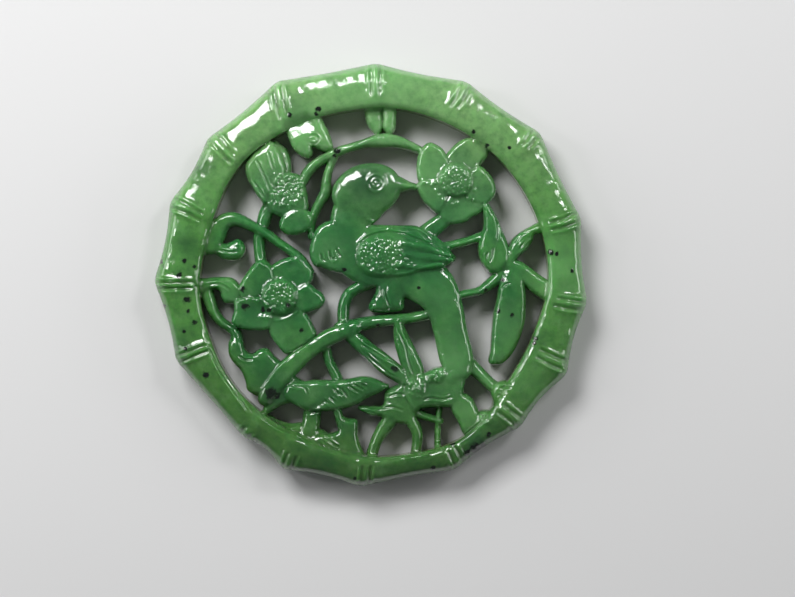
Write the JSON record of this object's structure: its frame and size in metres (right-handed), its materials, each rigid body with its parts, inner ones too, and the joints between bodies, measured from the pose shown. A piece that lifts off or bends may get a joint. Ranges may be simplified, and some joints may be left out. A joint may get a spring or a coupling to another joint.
{
  "type": "openwork jade pendant",
  "caption": "Round openwork jade plaque: a bamboo ring holding a bird among plum blossoms, stems and leaves, flat on the back, worn on a cord through a gap.",
  "frame": {"origin": "centre of the plaque's outline, on the ring's flat back, which lies on the surface", "axes": "+Z out of the carved front, +Y to the top of the picture, where the cord gap is, +X to the right as one faces the carving"},
  "size_m": [0.056, 0.0546, 0.0056],
  "materials": {
    "jade": "polished translucent green nephrite with dark flecks"
  },
  "bodies": {
    "root": {"pendant": "jade"}
  },
  "joints": []
}
